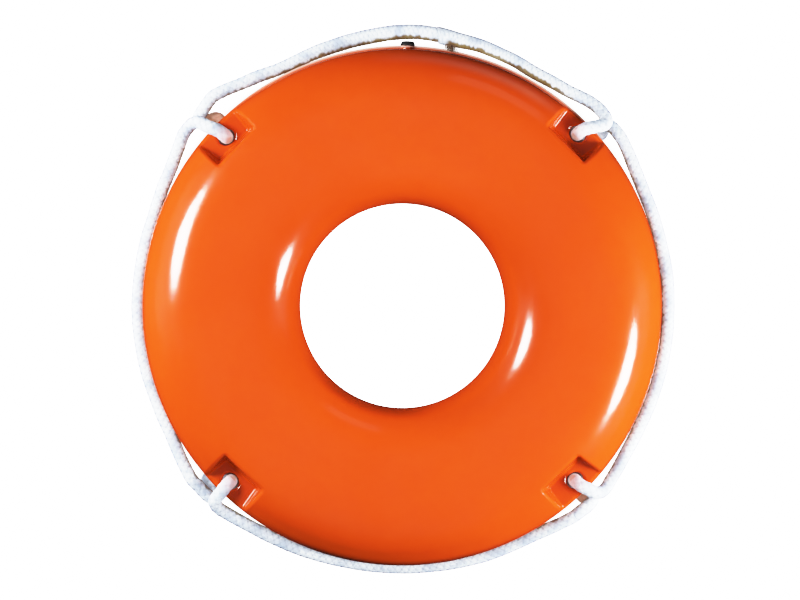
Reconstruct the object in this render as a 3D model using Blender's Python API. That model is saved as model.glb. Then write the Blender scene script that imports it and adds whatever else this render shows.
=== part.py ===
# Life ring with a grab line, in metres, +Z up.
# The ring lies on its back: the ring's axis is +Z through the origin, the
# resting plane is z = 0, its front face looks up, and the foam filling plug
# is at +Y on the rim.
import bpy
import bmesh
import math
from mathutils import Matrix, Vector

# ----------------------------------------------------------------- dimensions
RIM_R = 0.2508          # outside radius over the parting lip
BODY_R = 0.2483         # outside radius of the moulding beside the lip
HOLE_R = 0.0989         # radius of the hole in the middle
HALF_T = 0.0460         # half of the thickness, and the height of the equator
LAND = 0.13             # share of the half width that is flat, front and back
OUT_P, OUT_Q = 2.5, 2.1     # fullness of the outer shoulder
IN_P, IN_Q = 2.2, 2.1       # fullness of the inner shoulder
WALL = 0.0024           # skin of the moulding
FOAM_GAP = 0.0005       # foam to skin
LIP_HALF = 0.0009       # half thickness of the parting lip
SEGMENTS = 72
CORE_SEGMENTS = 48

POCKETS = {             # azimuth of each rope pocket, and azimuth and radius of the eye in it
    "top_right": (44.7, 44.4, 0.23675),
    "top_left": (136.2, 136.2, 0.2350),
    "bottom_left": (226.4, 225.6, 0.23675),
    "bottom_right": (313.8, 314.7, 0.23675),
}
POCKET_FLOOR = 0.0080   # pocket floor, front and back, from the equator
POCKET_Y = 0.2239       # ring axis to the foot of the pocket's straight wall
POCKET_HALF = 0.0198    # half width of the floor at that wall
POCKET_FLARE = 0.149    # the floor widens outwards by this per unit
DRAFT = math.tan(math.radians(10.0))
EYE_LONG = 0.00775      # half length of the eye, outwards
EYE_HALF = 0.0085       # half width of the eye along the rim
BLOCK_Y = 0.2145        # the hollow stops here behind each pocket
BLOCK_HALF = 0.0290

PLUG_AZIMUTH = 88.8
PLUG_HOLE_R = 0.0050
PLUG_STEM_R = 0.0046
PLUG_HEAD_R = 0.0063
PLUG_TOP_R = 0.0054
PLUG_PROUD = 0.0043

ROPE_R = 0.0060         # the grab line is a 12 mm braid
STUB_GAP = 0.0066       # from a loop's pivot point to the end of the hitch
ROPE_SIDES = 2          # bevel resolution: eight sides
LOOP_STEP = 0.028
HITCH_STEP = 0.0061

# Route of the line: azimuth in degrees, radius and height above the equator in
# millimetres. Each hitch comes in from the loop at its smaller azimuth, passes
# behind the rim, up through the eye, and out over the rim to the next loop.
HITCH_IN = {
    "top_right": [(37.4, 266.5, 0.0), (38.9, 267.0, -1.8), (40.4, 266.9, -4.2), (41.6, 264.8, -7.4),
                  (41.7, 260.9, -10.9), (40.8, 256.6, -13.8)],
    "top_left": [(132.2, 272.8, 0.0), (133.9, 271.8, -1.6), (135.5, 270.5, -3.8), (137.0, 269.2, -6.4),
                 (137.7, 265.8, -9.6), (136.8, 261.8, -12.6), (135.2, 258.6, -14.2),
                 (134.5, 255.4, -15.0)],
    "bottom_left": [(219.5, 263.6, 0.0), (221.4, 263.2, -1.6), (223.4, 263.4, -3.8), (225.0, 262.6, -6.8),
                    (225.2, 259.6, -10.4), (223.7, 257.2, -13.2), (222.0, 255.6, -14.8),
                    (221.6, 253.2, -15.8)],
    "bottom_right": [(309.2, 262.6, 0.0), (311.1, 263.2, -1.5), (313.0, 264.2, -3.8), (314.4, 263.4, -7.0),
                     (314.6, 260.0, -10.8), (313.4, 256.4, -14.0)],
}
HITCH_OUT = {
    "top_right": [(42.5, 256.0, 12.9), (41.9, 261.8, 10.2), (42.4, 266.2, 7.0), (44.4, 268.8, 3.2),
                  (47.4, 267.8, 0.0)],
    "top_left": [(137.5, 256.5, 12.9), (137.8, 261.8, 11.0), (138.2, 265.6, 8.4), (139.2, 268.2, 4.8),
                 (140.6, 268.9, 1.9), (142.0, 268.6, 0.0)],
    "bottom_left": [(226.0, 256.5, 12.8), (226.2, 260.8, 9.8), (227.0, 263.2, 6.0), (228.2, 263.6, 2.6),
                    (229.6, 262.8, 0.0)],
    "bottom_right": [(315.8, 256.5, 12.8), (316.4, 260.6, 10.0), (317.2, 263.0, 6.4), (318.5, 263.6, 2.8),
                     (320.0, 262.6, 0.0)],
}
EYE_SHIFT = 0.65        # the line passes through the web this much outside the eye's middle, in mm

LOOPS = {
    "right": ("bottom_right", "top_right",
              [(-37.0, 260.9, -0.2), (-34.0, 259.2, -0.5), (-29.0, 258.0, -1.5), (-20.0, 257.7, -2.0),
               (-8.0, 257.6, -2.0), (6.0, 257.6, -2.0), (19.0, 257.7, -2.0),
               (26.0, 258.6, -1.0), (31.0, 261.2, -0.3), (34.5, 264.2, 0.0)]),
    "top": ("top_right", "top_left",
            [(49.6, 265.3, -0.2), (52.0, 262.6, -0.5), (56.0, 260.6, -1.5), (61.0, 259.3, -2.0),
             (65.0, 260.8, -2.0), (69.0, 261.6, -2.5), (73.5, 262.9, -3.0), (78.2, 262.8, -3.0),
             (81.0, 263.7, -3.0), (84.1, 265.0, -3.0), (87.4, 265.4, -3.0), (92.0, 264.5, -3.0),
             (96.0, 262.9, -3.0), (101.0, 261.3, -3.0), (105.0, 259.9, -2.5), (109.5, 258.9, -2.0),
             (114.5, 257.7, -2.0), (118.5, 258.7, -1.5), (122.0, 261.8, -1.0),
             (126.0, 265.3, -0.5), (129.4, 269.8, 0.0)]),
    "left": ("top_left", "bottom_left",
             [(144.0, 265.8, -0.2), (146.2, 263.2, -0.5), (149.5, 260.2, -1.5), (154.0, 258.4, -3.5),
              (160.0, 256.4, -7.0), (168.0, 256.3, -8.5), (176.0, 256.5, -9.0), (184.0, 256.6, -9.0),
              (194.0, 256.1, -9.0), (204.0, 256.0, -8.5), (209.0, 256.5, -6.5), (212.4, 258.5, -3.2),
              (215.0, 260.3, -1.0), (217.2, 261.9, -0.2)]),
    "bottom": ("bottom_left", "bottom_right",
               [(231.6, 261.4, -0.8), (234.5, 259.7, -2.5), (240.0, 257.8, -7.0), (247.0, 256.8, -12.0),
                (254.0, 255.6, -16.0), (262.0, 255.0, -17.5), (270.0, 254.8, -18.0),
                (278.0, 255.2, -17.5), (288.0, 256.0, -14.0), (295.0, 256.0, -11.0),
                (300.0, 256.6, -7.5), (303.5, 258.4, -4.0), (306.6, 260.7, -1.0)]),
}
SPLICE_AZIMUTH = 82.4   # where the two ends of the line meet in the top loop
SPLICE_SWELL = 0.18     # the buried end makes the line this much thicker
SPLICE_BULGE = 0.20     # and the place where it enters, this much more
SEAM_GAP = 0.0004
TAIL_AZIMUTH = 79.3     # the frayed end that sticks out under the splice

COLOURS = {
    "orange": ((0.86, 0.115, 0.013, 1.0), 0.28),
    "foam": ((0.80, 0.71, 0.47, 1.0), 0.9),
    "black": ((0.012, 0.012, 0.013, 1.0), 0.45),
    "line": ((0.86, 0.87, 0.88, 1.0), 0.75),
    "tail": ((0.50, 0.40, 0.29, 1.0), 0.85),
}

for old in list(bpy.data.objects):
    bpy.data.objects.remove(old, do_unlink=True)


# ------------------------------------------------------------------- helpers
def material(name):
    colour, rough = COLOURS[name]
    m = bpy.data.materials.new(name)
    m.use_nodes = True
    shader = m.node_tree.nodes["Principled BSDF"]
    shader.inputs["Base Color"].default_value = colour
    shader.inputs["Roughness"].default_value = rough
    shader.inputs["Metallic"].default_value = 0.0
    m.diffuse_color = colour
    return m


MATERIALS = {name: material(name) for name in COLOURS}


def add_object(name, data, mat=None):
    o = bpy.data.objects.new(name, data)
    bpy.context.scene.collection.objects.link(o)
    if mat:
        data.materials.append(MATERIALS[mat])
    return o


def mesh_from(name, verts, faces):
    """One closed mesh with its faces pointing out."""
    me = bpy.data.meshes.new(name)
    bm = bmesh.new()
    made = [bm.verts.new(v) for v in verts]
    for f in faces:
        bm.faces.new([made[i] for i in f])
    bmesh.ops.recalc_face_normals(bm, faces=bm.faces[:])
    bm.to_mesh(me)
    bm.free()
    return me


def join_meshes(name, parts):
    verts, faces = [], []
    for v, f in parts:
        base = len(verts)
        verts += v
        faces += [[base + i for i in face] for face in f]
    return mesh_from(name, verts, faces)


def cutter(name, me):
    o = add_object(name, me)
    o.hide_render = True
    o.display_type = "WIRE"
    return o


def cut(o, tool):
    m = o.modifiers.new("cut_" + tool.name, "BOOLEAN")
    m.operation = "DIFFERENCE"
    m.solver = "EXACT"
    m.object = tool


def on_ring(azimuth, r, z=0.0, across=0.0):
    """A point by azimuth, radius, height above the equator, and offset along the rim."""
    a = math.radians(azimuth)
    out, along = Vector((math.cos(a), math.sin(a), 0)), Vector((-math.sin(a), math.cos(a), 0))
    return out * r + along * across + Vector((0, 0, HALF_T + z))


# ---------------------------------------------------------- the moulded shell
def section(shrink, angles, lip):
    """The outline of the ring's section: radius and height above the equator, anticlockwise."""
    middle = (BODY_R + HOLE_R) / 2
    a, b = (BODY_R - HOLE_R) / 2 - shrink, HALF_T - shrink

    def quarter(p, q):
        out = []
        for t in angles:
            t = math.radians(t)
            u = LAND + (1 - LAND) * max(0.0, math.cos(t)) ** (2 / p)
            out.append((a * u, b * math.sin(t) ** (2 / q)))
        return out

    outer, inner = quarter(OUT_P, OUT_Q), quarter(IN_P, IN_Q)
    upper = [(middle + u, z) for u, z in outer[1:]]
    upper += [(middle - u, z) for u, z in reversed(inner)]
    if lip:
        start = [(RIM_R, LIP_HALF), (BODY_R, LIP_HALF + 0.0006)]
        lower = [(r, -z) for r, z in reversed(upper[:-1])]
        return start + upper + lower + [(BODY_R, -LIP_HALF - 0.0006), (RIM_R, -LIP_HALF)]
    lower = [(r, -z) for r, z in reversed(upper[:-1])]
    return [(middle + outer[0][0], 0.0)] + upper + lower


def revolved(outline, count):
    verts, faces = [], []
    n = len(outline)
    for i in range(count):
        a = 2 * math.pi * i / count
        verts += [(r * math.cos(a), r * math.sin(a), HALF_T + z) for r, z in outline]
    for i in range(count):
        k = (i + 1) % count
        for j in range(n):
            m = (j + 1) % n
            faces.append([i * n + j, k * n + j, k * n + m, i * n + m])
    return verts, faces


def pocket_block(azimuth, side):
    """The drafted recess above the front floor (side 1) or below the back one (side -1)."""
    high, far = 0.060 - POCKET_FLOOR, 0.285
    grow = high * DRAFT

    def half(y, up):
        return POCKET_HALF + POCKET_FLARE * (y - POCKET_Y) + (
            grow * math.sqrt(1 + POCKET_FLARE ** 2) if up else 0.0)

    corners = []
    for up in (False, True):
        near = POCKET_Y - (grow if up else 0.0)
        z = POCKET_FLOOR + (high if up else 0.0)
        for x, y in ((-half(near, up), near), (half(near, up), near),
                     (half(far, up), far), (-half(far, up), far)):
            corners.append(tuple(on_ring(azimuth, y, side * z, x)))
    return corners, [[0, 1, 2, 3], [4, 5, 6, 7], [0, 1, 5, 4], [1, 2, 6, 5],
                     [2, 3, 7, 6], [3, 0, 4, 7]]


def eye_prism(azimuth, mid, count=16):
    verts = []
    for z in (-0.020, 0.020):
        for i in range(count):
            t = 2 * math.pi * i / count
            verts.append(tuple(on_ring(azimuth, mid + EYE_LONG * math.cos(t), z,
                                       EYE_HALF * math.sin(t))))
    faces = [list(range(count)), list(range(count, 2 * count))]
    faces += [[i, (i + 1) % count, count + (i + 1) % count, count + i] for i in range(count)]
    return verts, faces


def behind_pocket(azimuth, grow):
    """The solid stretch of moulding round a pocket, which the hollow leaves out."""
    y0, y1, h = BLOCK_Y - grow, 0.29, 0.07
    x0 = BLOCK_HALF + grow
    x1 = x0 + POCKET_FLARE * (y1 - y0)
    verts = [tuple(on_ring(azimuth, y, z, x)) for z in (-h, h)
             for x, y in ((-x0, y0), (x0, y0), (x1, y1), (-x1, y1))]
    return verts, [[0, 1, 2, 3], [4, 5, 6, 7], [0, 1, 5, 4], [1, 2, 6, 5],
                   [2, 3, 7, 6], [3, 0, 4, 7]]


def turned(profile, count=16):
    """A piece turned about the radial axis at the plug's azimuth, from (distance, radius) pairs."""
    a = math.radians(PLUG_AZIMUTH)
    out, along, up = (Vector((math.cos(a), math.sin(a), 0)),
                      Vector((-math.sin(a), math.cos(a), 0)), Vector((0, 0, 1)))
    verts, faces = [], []
    for d, r in profile:
        for i in range(count):
            t = 2 * math.pi * (i + 0.5) / count
            verts.append(tuple(out * d + (along * math.cos(t) + up * math.sin(t)) * r
                               + Vector((0, 0, HALF_T))))
    for k in range(len(profile) - 1):
        for i in range(count):
            j = (i + 1) % count
            faces.append([k * count + i, k * count + j, (k + 1) * count + j, (k + 1) * count + i])
    faces.append(list(range(count)))
    faces.append([(len(profile) - 1) * count + i for i in range(count)])
    return verts, faces


OUTLINE_ANGLES = (0, 11, 23, 36, 50, 66, 90)
CORE_ANGLES = (0, 30, 58, 90)

shell = add_object("ring_shell",
                   mesh_from("ring_shell", *revolved(section(0.0, OUTLINE_ANGLES, True), SEGMENTS)),
                   "orange")
pockets = cutter("pocket_cutter", join_meshes("pocket_cutter", [
    pocket_block(p, side) for p, _, _ in POCKETS.values() for side in (1, -1)]))
eyes = cutter("eye_cutter", join_meshes("eye_cutter", [eye_prism(e, mid) for _, e, mid in POCKETS.values()]))
blocks = cutter("block_cutter", join_meshes("block_cutter", [
    behind_pocket(p, 0.0) for p, _, _ in POCKETS.values()]))
hollow = cutter("hollow_cutter",
                mesh_from("hollow_cutter", *revolved(section(WALL, CORE_ANGLES, False), CORE_SEGMENTS)))
cut(hollow, blocks)
fill_hole = cutter("fill_hole_cutter", mesh_from("fill_hole_cutter", *turned(
    [(RIM_R - 0.0120, PLUG_HOLE_R), (RIM_R + 0.0100, PLUG_HOLE_R)])))
for tool in (pockets, eyes, hollow, fill_hole):
    cut(shell, tool)

foam = add_object("foam_core", mesh_from("foam_core", *revolved(
    section(WALL + FOAM_GAP, CORE_ANGLES, False), CORE_SEGMENTS)), "foam")
foam_blocks = cutter("foam_block_cutter", join_meshes("foam_block_cutter", [
    behind_pocket(p, FOAM_GAP) for p, _, _ in POCKETS.values()]))
plug_room = cutter("plug_room_cutter", mesh_from("plug_room_cutter", *turned(
    [(RIM_R - 0.0200, 0.0066), (RIM_R + 0.0100, 0.0066)])))
cut(foam, foam_blocks)
cut(foam, plug_room)

plug = add_object("filler_plug", mesh_from("filler_plug", *turned([
    (BODY_R - 0.0114, 0.0036), (BODY_R - 0.0082, 0.0057), (BODY_R - 0.0066, 0.0057),
    (BODY_R - 0.0058, PLUG_STEM_R), (RIM_R + 0.0003, PLUG_STEM_R),
    (RIM_R + 0.0003, PLUG_HEAD_R), (RIM_R + 0.0014, PLUG_HEAD_R),
    (RIM_R + PLUG_PROUD - 0.0006, PLUG_TOP_R), (RIM_R + PLUG_PROUD, PLUG_TOP_R - 0.0008)])),
    "black")


# -------------------------------------------------------------- the grab line
def smooth(points, step):
    """Points about step apart on a smooth curve through these points (centripetal Catmull-Rom)."""
    p = [points[0] * 2 - points[1]] + list(points) + [points[-1] * 2 - points[-2]]
    fine = []
    for i in range(1, len(p) - 2):
        t = [0.0]
        for k in range(3):
            t.append(t[-1] + max((p[i + k] - p[i + k - 1]).length, 1e-9) ** 0.5)
        for s in range(24):
            x = t[1] + (t[2] - t[1]) * s / 24
            a = [(p[i - 1 + k] * (t[k + 1] - x) + p[i + k] * (x - t[k])) / (t[k + 1] - t[k])
                 for k in range(3)]
            b = [(a[k] * (t[k + 2] - x) + a[k + 1] * (x - t[k])) / (t[k + 2] - t[k])
                 for k in range(2)]
            fine.append((b[0] * (t[2] - x) + b[1] * (x - t[1])) / (t[2] - t[1]))
    fine.append(points[-1])
    along = [0.0]
    for a, b in zip(fine, fine[1:]):
        along.append(along[-1] + (b - a).length)
    count = max(3, round(along[-1] / step))
    out, k = [], 0
    for i in range(count + 1):
        want = along[-1] * i / count
        while k < len(along) - 2 and along[k + 1] < want:
            k += 1
        f = (want - along[k]) / max(along[k + 1] - along[k], 1e-12)
        out.append(fine[k].lerp(fine[k + 1], min(max(f, 0.0), 1.0)))
    return out


def ring_points(rows):
    return [on_ring(a, r / 1000, z / 1000) for a, r, z in rows]


def tube(name, points, radii, mat):
    """A rope solid: a curve with a round bevel and filled caps."""
    c = bpy.data.curves.new(name, "CURVE")
    c.dimensions = "3D"
    c.bevel_depth = ROPE_R
    c.bevel_resolution = ROPE_SIDES
    c.use_fill_caps = True
    c.twist_mode = "MINIMUM"
    s = c.splines.new("POLY")
    s.points.add(len(points) - 1)
    for q, p, r in zip(s.points, points, radii):
        q.co = (*p, 1.0)
        q.radius = r
    return add_object(name, c, mat)


def round_end(point, inward):
    """Points and radii of a half-round end centred on a loop's pivot point, outermost first."""
    back = (point - inward).normalized()
    rows = []
    for deg in (78, 52, 26):
        rows.append((point + back * ROPE_R * math.sin(math.radians(deg)),
                     math.cos(math.radians(deg))))
    return rows


def trimmed(points, start, end):
    """The same line, shorter by start at its first end and by end at its last one."""
    def shorten(line, gap):
        line = list(line)
        while len(line) > 2 and (line[1] - line[0]).length <= gap:
            gap -= (line[1] - line[0]).length
            line.pop(0)
        line[0] = line[0] + (line[1] - line[0]).normalized() * gap
        return line
    return list(reversed(shorten(list(reversed(shorten(points, start))), end)))


def through_eye(corner):
    """The generic middle of a hitch: under the web, up through the eye, and over the bar."""
    _, e, mid = POCKETS[corner]
    r = mid * 1000 + EYE_SHIFT
    rear, front = HITCH_IN[corner][-1][0], HITCH_OUT[corner][0][0]
    w = POCKET_FLOOR * 1000
    return [(e + 0.75 * (rear - e), 250.0, -w - 7.2), (e + 0.28 * (rear - e), 243.8, -w - 7.1),
            (e, r + 1.9, -w - 4.7), (e, r + 0.1, -w + 0.5), (e, r - 0.1, 0.0),
            (e, r + 0.1, w - 0.5), (e, r + 1.9, w + 4.7),
            (e + 0.15 * (front - e), 243.8, w + 7.0), (e + 0.6 * (front - e), 250.2, w + 7.0)]


for corner in POCKETS:
    rows = HITCH_IN[corner] + through_eye(corner) + HITCH_OUT[corner]
    line = trimmed(smooth(ring_points(rows), HITCH_STEP), STUB_GAP, STUB_GAP)
    tube("hitch_" + corner, line, [1.0] * len(line), "line")


def loop_rows(name):
    first, last, rows = LOOPS[name]
    start, end = HITCH_OUT[first][-1], HITCH_IN[last][0]
    if start[0] > rows[0][0] + 180:
        start = (start[0] - 360, start[1], start[2])
    return [start] + rows + [end]


def azimuth_of(p):
    return math.degrees(math.atan2(p.y, p.x)) % 360


def swell(p):
    """How much the buried end thickens the line in the top loop at this point."""
    d = azimuth_of(p) - SPLICE_AZIMUTH
    if d < 0:
        return 1 + (SPLICE_SWELL + SPLICE_BULGE) * max(0.0, 1 + d / 15.0) ** 1.3
    return 1 + SPLICE_SWELL * min(1.0, max(0.0, (34.0 - d) / 14.0))


for name in LOOPS:
    line = smooth(ring_points(loop_rows(name)), LOOP_STEP)
    a, b = line[0], line[-1]
    pivot = bpy.data.objects.new("pivot_" + name, None)
    bpy.context.scene.collection.objects.link(pivot)
    chord = (a - b).normalized()        # turning the right-hand way lifts the loop to the front
    frame = Matrix((chord, Vector((0, 0, 1)).cross(chord), Vector((0, 0, 1)))).transposed()
    pivot.matrix_world = Matrix.Translation((a + b) / 2) @ frame.to_4x4()
    head = round_end(line[0], line[1])
    foot = list(reversed(round_end(line[-1], line[-2])))
    radii = [swell(p) if name == "top" else 1.0 for p in line]
    radii[0] = radii[-1] = 1.0
    if name == "top":
        k = max(i for i, p in enumerate(line) if azimuth_of(p) < SPLICE_AZIMUTH - 1.5)
        keep = next(i for i, p in enumerate(line) if azimuth_of(p) > SPLICE_AZIMUTH + 1.5)
        share = ((SPLICE_AZIMUTH - azimuth_of(line[k]))
                 / (azimuth_of(line[keep]) - azimuth_of(line[k])))
        middle, along = line[k].lerp(line[keep], share), (line[keep] - line[k]).normalized()
        seam = [middle - along * SEAM_GAP / 2, middle + along * SEAM_GAP / 2]
        runs = [
            ("line_top_right_run",
             [p for p, _ in head] + line[:k + 1] + [seam[0]],
             [r for _, r in head] + radii[:k + 1] + [swell(seam[0])]),
            ("line_top_left_run",
             [seam[1]] + line[keep:] + [p for p, _ in foot],
             [1 + SPLICE_SWELL] + radii[keep:] + [r for _, r in foot]),
        ]
    else:
        runs = [("line_" + name, [p for p, _ in head] + line + [p for p, _ in foot],
                 [r for _, r in head] + radii + [r for _, r in foot])]
    for node, points, sizes in runs:
        o = tube(node, points, sizes, "line")
        o.parent = pivot
        o.matrix_parent_inverse = pivot.matrix_world.inverted()
    if name == "top":
        # the tucked end that shows under the splice: a short frayed stub
        rows = [(TAIL_AZIMUTH, 254.1, -4.2), (TAIL_AZIMUTH, 252.8, -4.7), (TAIL_AZIMUTH, 251.5, -5.2)]
        o = tube("splice_tail", ring_points(rows), [0.52, 0.46, 0.26], "tail")
        o.parent = pivot
        o.matrix_parent_inverse = pivot.matrix_world.inverted()

bpy.context.view_layer.update()
for o in bpy.data.objects:
    if o.type == "MESH" and not o.hide_render:
        o.data.shade_smooth()
        o.data.set_sharp_from_angle(angle=math.radians(35))
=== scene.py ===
import math
import bpy
import bmesh
import numpy as np
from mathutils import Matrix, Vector


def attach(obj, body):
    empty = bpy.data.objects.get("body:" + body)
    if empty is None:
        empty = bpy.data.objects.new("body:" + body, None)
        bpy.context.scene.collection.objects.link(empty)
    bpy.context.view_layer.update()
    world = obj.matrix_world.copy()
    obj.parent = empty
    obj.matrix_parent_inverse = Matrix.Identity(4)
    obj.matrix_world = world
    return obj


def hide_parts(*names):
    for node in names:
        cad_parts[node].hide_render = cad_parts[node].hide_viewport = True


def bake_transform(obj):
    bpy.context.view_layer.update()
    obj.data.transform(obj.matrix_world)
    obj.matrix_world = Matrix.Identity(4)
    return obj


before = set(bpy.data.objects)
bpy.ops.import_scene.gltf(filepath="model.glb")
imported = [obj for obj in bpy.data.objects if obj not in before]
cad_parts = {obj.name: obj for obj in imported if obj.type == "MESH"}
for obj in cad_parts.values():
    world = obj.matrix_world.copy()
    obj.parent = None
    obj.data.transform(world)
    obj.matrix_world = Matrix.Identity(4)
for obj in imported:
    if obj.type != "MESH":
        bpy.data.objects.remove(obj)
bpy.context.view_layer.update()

scene = bpy.context.scene
rng = np.random.default_rng(7)

# ------------------------------------------------------------------ dimensions
# the same as in the CAD, in millimetres
RIM_R, BODY_R, HOLE_R, HALF_T = 250.8, 248.3, 98.9, 46.0
LAND, OUT_P, OUT_Q, IN_P, IN_Q = 0.13, 2.5, 2.1, 2.2, 2.1
MIDDLE, A = (BODY_R + HOLE_R) / 2, (BODY_R - HOLE_R) / 2
POCKETS = {"top_right": (44.7, 44.4, 236.75), "top_left": (136.2, 136.2, 235.0),
           "bottom_left": (226.4, 225.6, 236.75), "bottom_right": (313.8, 314.7, 236.75)}
POCKET_FLOOR, POCKET_Y, POCKET_HALF, POCKET_FLARE = 8.0, 223.9, 19.8, 0.149
EYE_LONG, EYE_HALF, EYE_SHIFT = 7.75, 8.5, 0.65
TOP_FILLET, FOOT_FILLET, EYE_FILLET = 3.0, 2.0, 2.8
PLUG_AZIMUTH = 88.8
ROPE_R = 6.0

HITCH_IN = {
    "top_right": [(37.4, 266.5, 0.0), (38.9, 267.0, -1.8), (40.4, 266.9, -4.2), (41.6, 264.8, -7.4),
                  (41.7, 260.9, -10.9), (40.8, 256.6, -13.8)],
    "top_left": [(132.2, 272.8, 0.0), (133.9, 271.8, -1.6), (135.5, 270.5, -3.8), (137.0, 269.2, -6.4),
                 (137.7, 265.8, -9.6), (136.8, 261.8, -12.6), (135.2, 258.6, -14.2),
                 (134.5, 255.4, -15.0)],
    "bottom_left": [(219.5, 263.6, 0.0), (221.4, 263.2, -1.6), (223.4, 263.4, -3.8), (225.0, 262.6, -6.8),
                    (225.2, 259.6, -10.4), (223.7, 257.2, -13.2), (222.0, 255.6, -14.8),
                    (221.6, 253.2, -15.8)],
    "bottom_right": [(309.2, 262.6, 0.0), (311.1, 263.2, -1.5), (313.0, 264.2, -3.8), (314.4, 263.4, -7.0),
                     (314.6, 260.0, -10.8), (313.4, 256.4, -14.0)],
}
HITCH_OUT = {
    "top_right": [(42.5, 256.0, 12.9), (41.9, 261.8, 10.2), (42.4, 266.2, 7.0), (44.4, 268.8, 3.2),
                  (47.4, 267.8, 0.0)],
    "top_left": [(137.5, 256.5, 12.9), (137.8, 261.8, 11.0), (138.2, 265.6, 8.4), (139.2, 268.2, 4.8),
                 (140.6, 268.9, 1.9), (142.0, 268.6, 0.0)],
    "bottom_left": [(226.0, 256.5, 12.8), (226.2, 260.8, 9.8), (227.0, 263.2, 6.0), (228.2, 263.6, 2.6),
                    (229.6, 262.8, 0.0)],
    "bottom_right": [(315.8, 256.5, 12.8), (316.4, 260.6, 10.0), (317.2, 263.0, 6.4), (318.5, 263.6, 2.8),
                     (320.0, 262.6, 0.0)],
}
LOOPS = {
    "top": ("top_right", "top_left",
            [(49.6, 265.3, -0.2), (52.0, 262.6, -0.5), (56.0, 260.6, -1.5), (61.0, 259.3, -2.0),
             (65.0, 260.8, -2.0), (69.0, 261.6, -2.5), (73.5, 262.9, -3.0), (78.2, 262.8, -3.0),
             (81.0, 263.7, -3.0), (84.1, 265.0, -3.0), (87.4, 265.4, -3.0), (92.0, 264.5, -3.0),
             (96.0, 262.9, -3.0), (101.0, 261.3, -3.0), (105.0, 259.9, -2.5), (109.5, 258.9, -2.0),
             (114.5, 257.7, -2.0), (118.5, 258.7, -1.5), (122.0, 261.8, -1.0),
             (126.0, 265.3, -0.5), (129.4, 269.8, 0.0)]),
    "left": ("top_left", "bottom_left",
             [(144.0, 265.8, -0.2), (146.2, 263.2, -0.5), (149.5, 260.2, -1.5), (154.0, 258.4, -3.5),
              (160.0, 256.4, -7.0), (168.0, 256.3, -8.5), (176.0, 256.5, -9.0), (184.0, 256.6, -9.0),
              (194.0, 256.1, -9.0), (204.0, 256.0, -8.5), (209.0, 256.5, -6.5), (212.4, 258.5, -3.2),
              (215.0, 260.3, -1.0), (217.2, 261.9, -0.2)]),
    "bottom": ("bottom_left", "bottom_right",
               [(231.6, 261.4, -0.8), (234.5, 259.7, -2.5), (240.0, 257.8, -7.0), (247.0, 256.8, -12.0),
                (254.0, 255.6, -16.0), (262.0, 255.0, -17.5), (270.0, 254.8, -18.0),
                (278.0, 255.2, -17.5), (288.0, 256.0, -14.0), (295.0, 256.0, -11.0),
                (300.0, 256.6, -7.5), (303.5, 258.4, -4.0), (306.6, 260.7, -1.0)]),
    "right": ("bottom_right", "top_right",
              [(323.0, 260.9, -0.2), (326.0, 259.2, -0.5), (331.0, 258.0, -1.5), (340.0, 257.7, -2.0),
               (352.0, 257.6, -2.0), (366.0, 257.6, -2.0), (379.0, 257.7, -2.0),
               (386.0, 258.6, -1.0), (391.0, 261.2, -0.3), (394.5, 264.2, 0.0)]),
}
SPLICE_AZIMUTH, SPLICE_SWELL, SPLICE_BULGE = 82.4, 0.18, 0.20


def on_ring(azimuth, r, z=0.0, across=0.0):
    """A point in metres by azimuth, and radius, height above the equator and offset along the rim in mm."""
    a = math.radians(azimuth)
    out = np.array((math.cos(a), math.sin(a), 0.0))
    along = np.array((-math.sin(a), math.cos(a), 0.0))
    return (out * r + along * across + np.array((0.0, 0.0, HALF_T + z))) / 1000


# ---------------------------------------------------------------------- camera
camera_data = bpy.data.cameras.new("camera")
camera_data.sensor_width = 36.0
camera_data.lens = 102.4
camera_data.clip_start, camera_data.clip_end = 0.05, 50.0
camera = bpy.data.objects.new("camera", camera_data)
camera.location = (-0.0022, 0.0056, 2.246)
camera.rotation_euler = (0.0, 0.0, 0.0)
scene.collection.objects.link(camera)
scene.camera = camera


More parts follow.
